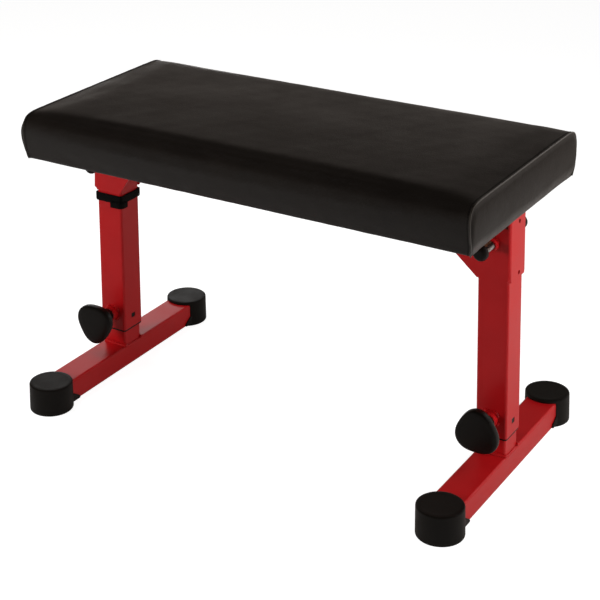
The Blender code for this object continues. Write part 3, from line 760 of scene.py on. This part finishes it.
def build_foam():
    """Foam core, the cover's form shrunk and closed underneath by the board."""
    core = pad_surface(FOAM_INSET, FOAM_GRID)
    rim = [edge for edge in core.edges if edge.is_boundary]
    bmesh.ops.holes_fill(core, edges=rim)
    for vert in core.verts:
        vert.co.z = max(vert.co.z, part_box("seat_foam")[0].z)
    piece_from_mesh("pad_foam", core, "foam", "seat", ("seat_foam",))


def build_staples():
    """Staples that hold the turned-in cover to the board, all round its underside."""
    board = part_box("seat_board")[1]
    half_x, half_y = board.x - 0.016, board.y - 0.014
    from_corner = 0.02
    wire = 0.00045
    half_crown = 0.0055
    leg = UP * 0.004
    places = []
    for share in np.linspace(-1.0, 1.0, 23):
        x = share * (half_x - from_corner)
        places += [(x, half_y, 0.0), (x, -half_y, 0.0)]
    for share in np.linspace(-1.0, 1.0, 11):
        y = share * (half_y - from_corner)
        places += [(half_x, y, 90.0), (-half_x, y, 90.0)]
    shape = bmesh.new()
    for number, (x, y, turn) in enumerate(places):
        lean = radians(turn + 9.0 * sin(number * 2.3))
        along = Vector((cos(lean), sin(lean), 0.0)) * half_crown
        centre = Vector((x, y, PAD_BOTTOM - 0.0002))
        tube_along(shape, [centre - along + leg, centre - along, centre + along, centre + along + leg],
                   wire)
    piece_from_mesh("pad_staples", shape, "zinc_steel", "seat")


# ---- feet ----
SOCKET_PLAY = 0.0003  # between the beam and the foot's socket and tongues
FOOT_INSET = 0.007  # width of the rim round the foot's top
TONGUE_THICK = 0.0024


def foot_profile(radius, tall):
    """(radius, height, rounding) corners of a foot, top to bottom: a low rim line and slight draft."""
    return ((0.0, tall - 0.0002, 0.0), (radius - FOOT_INSET - 0.004, tall - 0.0002, 0.002),
            (radius - FOOT_INSET, tall, 0.002), (radius - 0.0004, tall - 0.0004, 0.0028),
            (radius, 0.0012, 0.0008), (radius - 0.001, 0.0, 0.0004), (0.0, 0.0, 0.0))


def build_foot_cap(side_name, end, end_name):
    """Rubber foot with a socket for the beam and a tongue along each of the beam's sides."""
    node = f"{side_name}_{end_name}_foot_cap"
    low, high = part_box(node)
    centre = (low + high) / 2
    radius = (high.x - low.x) / 2
    shape = bmesh.new()
    profile = rounded_profile(foot_profile(radius, high.z))
    loft(shape, turned_rings(profile, (centre.x, centre.y, 0.0), UP, 96))
    beam_low, beam_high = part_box(side_name + "_base_beam")
    half_beam = (beam_high.x - beam_low.x) / 2
    for flank in (-1, 1):
        tongue(shape, centre, end, flank, half_beam + SOCKET_PLAY, radius)
    cap = piece_from_mesh(f"{side_name}_{end_name}_rubber_foot", shape, "black_rubber",
                          side_name + "_foot", (node,))
    cut(cap, socket_cutter(node + "_socket", beam_low, beam_high, end))


def socket_cutter(name, beam_low, beam_high, end):
    """One end of the beam, slightly oversize, as an object to cut with."""
    length = 0.2
    shape = bmesh.new()
    bmesh.ops.create_cube(shape, size=1.0)
    size = beam_high - beam_low + Vector((2.0, 0.0, 2.0)) * SOCKET_PLAY
    size.y = length
    bmesh.ops.scale(shape, vec=size, verts=shape.verts)
    centre = (beam_low + beam_high) / 2
    centre.y = (beam_high.y if end > 0 else beam_low.y) + end * (SOCKET_PLAY - length / 2)
    bmesh.ops.translate(shape, verts=shape.verts, vec=centre)
    return link(name, mesh_from(name, shape))


def tongue(shape, centre, end, flank, inner, radius):
    """Thin wedge of the cap that runs a little way along the lower half of the beam's side."""
    edge = 0.0006
    # (distance along the beam from the cap's middle, over the cap's radius; height)
    side_view = ((-0.3, 0.0062), (-1.14, 0.0062), (-1.16, 0.0085),
                 (-1.06, 0.012), (-0.72, 0.02), (-0.3, 0.02))
    rings = []
    face = inner + TONGUE_THICK
    for out, trim in ((inner - 0.006, 0.0), (face - edge, 0.0), (face, edge)):
        rings.append([Vector((centre.x + flank * out, centre.y + end * (along * radius + trim),
                              height - trim)) for along, height in side_view])
    loft(shape, rings, capped=True)


def cut(piece, cutter):
    """Cut the cutter out of the piece for good, then drop the cutter."""
    modifier = piece.modifiers.new("cut", "BOOLEAN")
    modifier.object = cutter
    modifier.use_self = True
    evaluated = piece.evaluated_get(bpy.context.evaluated_depsgraph_get())
    mesh = bpy.data.meshes.new_from_object(evaluated)
    piece.modifiers.remove(modifier)
    piece.data = mesh
    mesh.set_sharp_from_angle(angle=radians(SHARP_ANGLE))
    bpy.data.objects.remove(cutter, do_unlink=True)


# ---- knobs and pins ----
KNOB_PROUD = 0.001  # how far the domed face stands before the plain one
LOBES = 3
LOBE_SWELL = 0.08  # of the radius
KNOB_BORE = 0.0064  # radius of the hole for the screw
KNOB_BORE_END = 0.0092  # its end behind the face
# (distance behind the face, mean radius, how strongly the lobes show)
KNOB_SECTIONS = (
    (0.0, 0.0, 0.0), (0.0, 0.01, 0.4), (0.0002, 0.02, 0.9), (0.0006, 0.0275, 1.0),
    (0.0013, 0.0318, 1.0), (0.0022, 0.0338, 1.0), (0.0034, 0.0348, 1.0),
    (0.005, 0.0354, 1.0), (0.009, 0.0356, 1.0), (0.013, 0.0353, 1.0),
    (0.016, 0.0343, 1.0), (0.0178, 0.0322, 1.0), (0.0186, 0.0285, 0.9),
    (0.0189, 0.018, 0.5), (0.0195, 0.014, 0.1), (0.0225, 0.0128, 0.0),
)
THREAD_PITCH = 0.0015
THREAD_DEPTH = 0.0007
BARREL_BORE = 0.0053
PIN_HOLE = 0.0028
BARREL_WALL = 0.003  # thickness of the barrel's outer end
BALL_BORE = 0.012  # depth of the pin's hole in the ball knob
SPRING_WIRE = 0.0005  # radius
SPRING_TURNS = 5


def build_height_knob(side, side_name):
    """Three-lobed knob with a domed face, a rolled edge and a hub behind."""
    node = side_name + "_height_knob"
    low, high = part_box(node)
    axis = middle_of(side_name + "_height_screw")
    front = low.y - KNOB_PROUD
    length = high.y - front
    turn = radians(90.0 * side)
    sections = KNOB_SECTIONS + (
        (length - 0.001, 0.0125, 0.0), (length, 0.0117, 0.0), (length, KNOB_BORE, 0.0),
        (KNOB_BORE_END, KNOB_BORE, 0.0), (KNOB_BORE_END, 0.0, 0.0))
    steps = 120
    rings = []
    for depth, radius, lobed in sections:
        ring = []
        for index in range(1 if radius == 0 else steps):
            angle = 2 * pi * index / steps
            reach = radius * (1 + LOBE_SWELL * lobed * cos(LOBES * (angle - turn)))
            ring.append(Vector((axis.x + reach * cos(angle), front + depth,
                                axis.z + reach * sin(angle))))
        rings.append(ring)
    shape = bmesh.new()
    loft(shape, rings)
    piece_from_mesh(side_name + "_lobed_knob", shape, "black_plastic", node, (node,), 50.0)


def outward_measures(node, end):
    """(middle of the inner face, length, radius) of a round CAD node that points to one end."""
    low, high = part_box(node)
    place = (low + high) / 2
    place.y = low.y if end > 0 else high.y
    return place, high.y - low.y, (high.x - low.x) / 2


def build_lock_barrel(side_name, end, name):
    """Threaded barrel of one hinge lock, hollow for the spring, with a hole for the pin."""
    place, length, outer = outward_measures(name + "_barrel", end)
    root = outer - THREAD_DEPTH
    profile = [(BARREL_BORE, 0.0), (root, 0.0)]
    for number in range(int((length - 0.003) / THREAD_PITCH)):
        start = 0.001 + number * THREAD_PITCH
        profile += [(root, start), (outer, start + 0.35 * THREAD_PITCH),
                    (outer, start + 0.55 * THREAD_PITCH), (root, start + 0.9 * THREAD_PITCH)]
    profile += [(root, length - 0.0006), (root - 0.0006, length), (PIN_HOLE, length),
                (PIN_HOLE, length - BARREL_WALL), (BARREL_BORE, length - BARREL_WALL)]
    shape = bmesh.new()
    rings = turned_rings(profile, place, (0.0, float(end), 0.0), 48)
    loft(shape, rings + [rings[0]])
    bmesh.ops.remove_doubles(shape, verts=shape.verts, dist=1e-6)
    piece_from_mesh(name + "_threaded_barrel", shape, "chrome", side_name + "_leg", (name + "_barrel",),
                    60.0)


def build_lock_knob(end, name):
    """Ball-fronted pull knob of one hinge lock, with a blind hole for the pin."""
    axis = Vector((0.0, float(end), 0.0))
    place, length, radius = outward_measures(name + "_knob", end)
    corners = ((PIN_HOLE, BALL_BORE, 0.0), (PIN_HOLE, 0.0, 0.0003), (0.0085, 0.0, 0.0012),
               (0.01, 0.0022, 0.001), (radius, 0.0045, 0.0014), (radius, 0.0122, 0.0032),
               (radius - 0.0042, length, 0.0026), (0.0, length + 0.0004, 0.0))
    shape = bmesh.new()
    bore_end = [place + axis * BALL_BORE]
    loft(shape, [bore_end] + turned_rings(rounded_profile(corners, 7), place, axis, 64))
    piece_from_mesh(name + "_ball_knob", shape, "black_plastic", name, (name + "_knob",), 50.0)


def build_lock_spring(side_name, name):
    """Coil between the pin's shoulder and the barrel's end wall."""
    low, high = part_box(name + "_spring")
    coil = (high.x - low.x) / 2 - SPRING_WIRE
    length = high.y - low.y
    centre = (low + high) / 2
    steps = 20
    count = SPRING_TURNS * steps
    line = []
    for index in range(count + 1):
        angle = 2 * pi * index / steps
        along = low.y + SPRING_WIRE + (length - 2 * SPRING_WIRE) * index / count
        line.append(Vector((centre.x + coil * cos(angle), along, centre.z + coil * sin(angle))))
    shape = bmesh.new()
    tube_along(shape, line, SPRING_WIRE, 8)
    spring = piece_from_mesh(name + "_coil", shape, "zinc_steel", side_name + "_leg", (name + "_spring",))
    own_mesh(spring)


# ---- welds ----
BEAD_STEP = 0.0009  # spacing of the points along a bead
POST_BEAD = 0.0032  # radii of the beads
NUT_BEAD = 0.0025
COLLAR_BEAD = 0.001
TACKS = 4  # beads round a nut or a collar


def weld_bead(shape, line, radius, seed):
    """Lumpy bead with overlapping ripples along a line of points, tapered at its ends."""
    line = [Vector(point) for point in smooth_path([tuple(point) for point in line], BEAD_STEP)]
    phase = np.random.default_rng(seed).uniform(0.0, 6.28)
    radii = []
    for index in range(len(line)):
        run = index * BEAD_STEP
        lump = 1.0 + 0.16 * abs(sin(run / 0.0021 + phase)) + 0.1 * sin(run / 0.0047 + phase)
        taper = min(1.0, 0.35 + index / 4, 0.35 + (len(line) - 1 - index) / 4)
        radii.append(radius * lump * taper)
    tube_along(shape, line, radii, 8)


def ring_weld(shape, centre, y, radius, bead, seed):
    """Short beads spaced round a nut, at a distance y along its axis."""
    steps = 6
    for tack in range(TACKS):
        start = radians(360 / TACKS * tack + 18)
        line = []
        for step in range(steps + 1):
            angle = start + radians(54) * step / steps
            line.append((centre.x + radius * cos(angle), y, centre.z + radius * sin(angle)))
        weld_bead(shape, line, bead, seed * 5 + tack)


def build_post_weld(side, side_name):
    """Beads where the post meets the beam, across its front and rear and round one corner."""
    low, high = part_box(side_name + "_inner_post")
    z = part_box(side_name + "_base_beam")[1].z + 0.0006
    shape = bmesh.new()
    for face, seed in ((-1, 1), (1, 2)):
        y = (low.y if face < 0 else high.y) + face * 0.0006
        line = [(low.x + 0.0015, y - face * 0.0015, z), (low.x + 0.006, y, z),
                ((low.x + high.x) / 2, y + face * 0.0003, z), (high.x - 0.006, y, z),
                (high.x + 0.0004, y - face * 0.0012, z), (high.x + 0.0002, y - face * 0.0052, z)]
        weld_bead(shape, line, POST_BEAD, seed + side)
    piece_from_mesh(side_name + "_post_weld", shape, "red_paint", side_name + "_foot")


def build_nut_welds(side, side_name):
    """Tacks round the height nut and round the two lock collars."""
    shape = bmesh.new()
    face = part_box(side_name + "_leg_tube")[0].y - 0.0004
    ring_weld(shape, middle_of(side_name + "_height_collar"), face, 0.014, NUT_BEAD, 7 + side)
    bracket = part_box(side_name + "_hinge_bracket")
    for end, end_name in ENDS.items():
        plate = (bracket[0].y if end < 0 else bracket[1].y) + end * 0.0002
        collar = middle_of(f"{side_name}_{end_name}_lock_collar")
        ring_weld(shape, collar, plate, 0.0112, COLLAR_BEAD, 20 + side + 3 * end)
    piece_from_mesh(side_name + "_nut_welds", shape, "red_paint", side_name + "_leg")


# ---- strap ----
STRAP_WIDTH = 0.015
LOOP_THICK = 0.0031
TAIL_THICK = 0.0024
TAIL_NARROWER = 0.004
TAIL_FRONT = 0.025  # how far the free end runs from the tube's corner, on each face
TAIL_SIDE = 0.017


def build_strap():
    """Loop-pile tape wound round the left leg, its free end lapped over the near corner."""
    low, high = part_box("left_leg_strap")
    tube_low, tube_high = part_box("left_leg_tube")
    centre = (tube_low + tube_high) / 2
    half = (tube_high.x - tube_low.x) / 2
    loop_z = high.z - 0.0015 - STRAP_WIDTH / 2
    tail_z = low.z + 0.0085
    shape = bmesh.new()
    sweep_tape(shape, loop_path(centre, half + 0.0021, 0.0055), True, loop_z, STRAP_WIDTH, LOOP_THICK, 3)
    sweep_tape(shape, tail_path(centre, half + 0.0052, 0.008), False, tail_z,
               STRAP_WIDTH - TAIL_NARROWER, TAIL_THICK, 4)
    piece_from_mesh("left_strap_tape", shape, "black_webbing", "left_leg", ("left_leg_strap",), 50.0)


def corner_arc(centre, half, corner, quarter):
    """Plan points round one rounded corner of a square of half width `half`."""
    across = 1 if quarter in (0, 3) else -1
    up = 1 if quarter in (0, 1) else -1
    arc = []
    for step in range(7):
        angle = radians(90 * quarter + 15 * step)
        arc.append((centre.x + across * (half - corner) + corner * cos(angle),
                    centre.y + up * (half - corner) + corner * sin(angle)))
    return arc


def loop_path(centre, half, corner):
    """Plan path all the way round the tube, its last point left out as it is the first again."""
    path = [point for quarter in range(4) for point in corner_arc(centre, half, corner, quarter)]
    return smooth_path(path + path[:1], 0.002)[:-1]


def tail_path(centre, half, corner):
    """Plan path over the tube's front right corner only."""
    path = [(centre.x + half - TAIL_FRONT, centre.y - half)]
    path += corner_arc(centre, half, corner, 3)
    path += [(centre.x + half, centre.y - half + TAIL_SIDE)]
    return smooth_path(path, 0.002)


def sweep_tape(shape, path, closed, middle, width, thick, seed):
    """Soft-edged tape standing on edge along a plan path."""
    count = len(path)
    wobble = ripple(np.column_stack([path, np.zeros(count)]), seed, 0.03)
    outline = [(copysign(abs(c) ** 0.5, c) * thick / 2, copysign(abs(s) ** 0.25, s) * width / 2)
               for c, s in circle(20)]
    rings = []
    for index, (x, y) in enumerate(path):
        before = path[(index - 1) % count if closed else max(index - 1, 0)]
        after = path[(index + 1) % count if closed else min(index + 1, count - 1)]
        ahead = Vector((after[0] - before[0], after[1] - before[1], 0.0)).normalized()
        out = Vector((ahead.y, -ahead.x, 0.0))
        rings.append([Vector((x, y, middle + rise + 0.0005 * wobble[index])) + out * depth
                      for depth, rise in outline])
    loft(shape, rings, capped=not closed, closed=closed)


# ---- carried-over CAD nodes ----
def dress_cad_nodes():
    """Give every CAD node that stays the procedural version of its record finish."""
    slots = {entry["node"]: entry["material_slot"] for entry in frame["record"]["subparts"]}
    for name, node in frame["nodes"].items():
        if node.hide_render:
            continue
        node.data.materials.clear()
        node.data.materials.append(finish_material(name, slots[name]))


# ---- studio ----
FLOOR_SIZE = 80.0
FLOOR_GAP = 0.0005  # clearance between the floor and the feet
FLOOR_GLOW = 0.92  # brightness of the floor and the backdrop, as the camera sees them
BACKDROP_GLOW = 1.0
# the pool is a painted pool of light in the floor's glow
POOL_AT = (-0.62, -1.35, 0.0)  # brighter pool on the floor, mirrored in the pad's front
POOL_GLOW = 0.42
WHITE = (1.0, 1.0, 1.0)
WARM = (1.0, 0.88, 0.79)
CAMERA_AT = (1.35929, -2.2291, 1.40204)
CAMERA_TURNS = (32.7556, 11.2051, -0.8134)  # yaw, pitch and roll in degrees
SENSOR = 36.0  # width, in millimetres, like the lens
LENS = 97.0272
LENS_SHIFT = {"shift_x": 0.076885, "shift_y": -0.639597}
# (name, place, target, size, power, seen in reflections)
LIGHTS = (
    ("side_softbox", (1.25, 0.15, 0.6), (0.4, 0.0, 0.25), (0.8, 0.8), 10.0, False),
    ("front_key", (-1.9, -2.3, 0.95), (0.0, 0.0, 0.3), (0.8, 0.8), 48.0, False),
    ("overhead", (-1.0, -0.3, 2.2), (-0.1, 0.0, 0.3), (1.4, 1.0), 20.0, False),
    ("rear_card", (-0.9, 0.68, 0.4), (-0.38, 0.0, 0.1), (0.6, 0.24), 0.95, True),
    ("rear_right", (1.3, 1.9, 1.15), (0.3, 0.0, 0.3), (0.8, 0.8), 4.0, True),
)


def build_light(name, place, target, size, power, mirrored):
    light = bpy.data.lights.new(name, "AREA")
    light.shape = "RECTANGLE"
    light.size, light.size_y = size
    light.energy = power
    lamp = link(name, light)
    lamp.visible_camera = False
    lamp.visible_glossy = mirrored
    lamp.location = place
    lamp.rotation_euler = (Vector(target) - Vector(place)).to_track_quat("-Z", "Y").to_euler()


def follow(driver, name, thing, part):
    """Let a driver's expression read one part of an object's place under a short name."""
    variable = driver.variables.new()
    variable.name = name
    variable.type = "TRANSFORMS"
    variable.targets[0].id = thing
    variable.targets[0].transform_type = part
    variable.targets[0].transform_space = "WORLD_SPACE"


def keep_under_feet(floor):
    """Lower the floor with a foot that slides down, so that it never hides one."""
    driver = floor.driver_add("location", 2).driver
    driver.type = "SCRIPTED"
    heights = []
    for side_name in SIDES.values():
        foot = frame["bodies"][side_name + "_foot"]
        follow(driver, side_name + "_rise", foot, "LOC_Z")
        follow(driver, side_name + "_turn", foot, "ROT_Y")
        beam_x = middle_of(side_name + "_base_beam").x
        heights.append(f"{side_name}_rise - sin({side_name}_turn) * {beam_x:.4f}")
    driver.expression = f"min(0.0, {heights[0]}, {heights[1]}) - {FLOOR_GAP}"


def glow_for(look, to_camera, to_others):
    """(colour, brightness) of a glowing thing: white for the camera, and warm in reflections."""
    seen = add_node(look, "LightPath").outputs["Is Camera Ray"]
    others = maths(look, "MULTIPLY", maths(look, "SUBTRACT", 1.0, seen), to_others)
    brightness = maths(look, "ADD", maths(look, "MULTIPLY", seen, to_camera), others)
    return mix_colours(look, seen, WARM, WHITE), brightness


def floor_reflection(look):
    """Brightness of the floor in reflections and in the light it gives, all painted light: rising to the
    rear, a painted shadow of the bench at the rear left, and a painted pool of light.
    """
    spot = add_node(look, "SeparateXYZ", {"Vector": position(look)}).outputs
    sweep = remap(look, spot["Y"], -0.7, 0.8, 0.08, 0.42)
    right_part = remap(look, spot["X"], -0.1, 0.45, 0.35, 1.0)
    rear_part = remap(look, spot["Y"], -0.3, 0.0)
    # painted shadow of the bench on the floor: darker behind it, less so to the right
    bench_shadow = maths(look, "MULTIPLY", rear_part, maths(look, "SUBTRACT", 1.0, right_part))
    swept = maths(look, "MULTIPLY", sweep, maths(look, "SUBTRACT", 1.0, bench_shadow))
    to_pool = add_node(look, "VectorMath", {0: position(look), 1: POOL_AT},
                       operation="DISTANCE").outputs["Value"]
    return maths(look, "ADD", swept, remap(look, to_pool, 0.1, 0.7, POOL_GLOW, 0.0))


def build_floor():
    """Floor that looks near white, but that the bench mirrors as a sweep lit from behind: painted light
    in the floor's glow.
    """
    shape = bmesh.new()
    bmesh.ops.create_grid(shape, x_segments=1, y_segments=1, size=FLOOR_SIZE / 2)
    floor = link("studio_floor", mesh_from("studio_floor", shape))
    floor.location.z = -FLOOR_GAP
    keep_under_feet(floor)
    look = new_material("studio_floor_white")
    colour, brightness = glow_for(look, FLOOR_GLOW, floor_reflection(look))
    feed_all(look, look.node_tree.nodes["Principled BSDF"], {
        "Base Color": (0.4, 0.4, 0.4, 1.0), "Roughness": 0.9, "Specular IOR Level": 0.1,
        "Emission Color": colour, "Emission Strength": brightness})
    floor.data.materials.append(look)


def build_world():
    """Near-white backdrop to the camera; for light and reflections bright only low down behind."""
    world = bpy.data.worlds.new("studio_world")
    bpy.context.scene.world = world
    world.use_nodes = True
    aim = add_node(world, "TexCoord").outputs["Generated"]
    toward = add_node(world, "SeparateXYZ", {"Vector": aim}).outputs
    low_down = remap(world, toward["Z"], 0.14, 0.42, 0.5, 0.02)
    behind = remap(world, toward["Y"], -0.2, 0.5, 0.7, 1.0)
    colour, brightness = glow_for(world, BACKDROP_GLOW, maths(world, "MULTIPLY", low_down, behind))
    feed_all(world, world.node_tree.nodes["Background"], {"Color": colour, "Strength": brightness})


def build_camera():
    """Camera that matches the viewpoint, with lens shift only while it stands there."""
    data = bpy.data.cameras.new("camera")
    camera = link("camera", data)
    yaw, pitch, roll = map(radians, CAMERA_TURNS)
    level = Euler((pi / 2 - pitch, 0.0, yaw)).to_matrix().to_4x4()
    camera.matrix_world = Matrix.Translation(CAMERA_AT) @ level @ Matrix.Rotation(roll, 4, "Z")
    data.sensor_width = SENSOR
    data.lens = LENS
    data.clip_start = 0.05
    low, high = CAMERA_AT[2] - 0.0005, CAMERA_AT[2] + 0.0005
    for path, value in LENS_SHIFT.items():
        setattr(data, path, value)
        driver = data.driver_add(path).driver
        driver.type = "SCRIPTED"
        follow(driver, "height", camera, "LOC_Z")
        driver.expression = f"{value:.6f} if height > {low:.5f} and height < {high:.5f} else 0.0"
    bpy.context.scene.camera = camera


def build_studio():
    build_floor()
    build_world()
    for light in LIGHTS:
        build_light(*light)
    bpy.context.scene.view_settings.view_transform = "Standard"
    build_camera()


def build_bench():
    build_pad()
    build_foam()
    build_staples()
    for side, side_name in SIDES.items():
        build_height_knob(side, side_name)
        build_post_weld(side, side_name)
        build_nut_welds(side, side_name)
        for end, end_name in ENDS.items():
            build_foot_cap(side_name, end, end_name)
            lock = f"{side_name}_{end_name}_lock"
            build_lock_barrel(side_name, end, lock)
            build_lock_knob(end, lock)
            build_lock_spring(side_name, lock)
    build_strap()
    dress_cad_nodes()


build_bench()
build_studio()
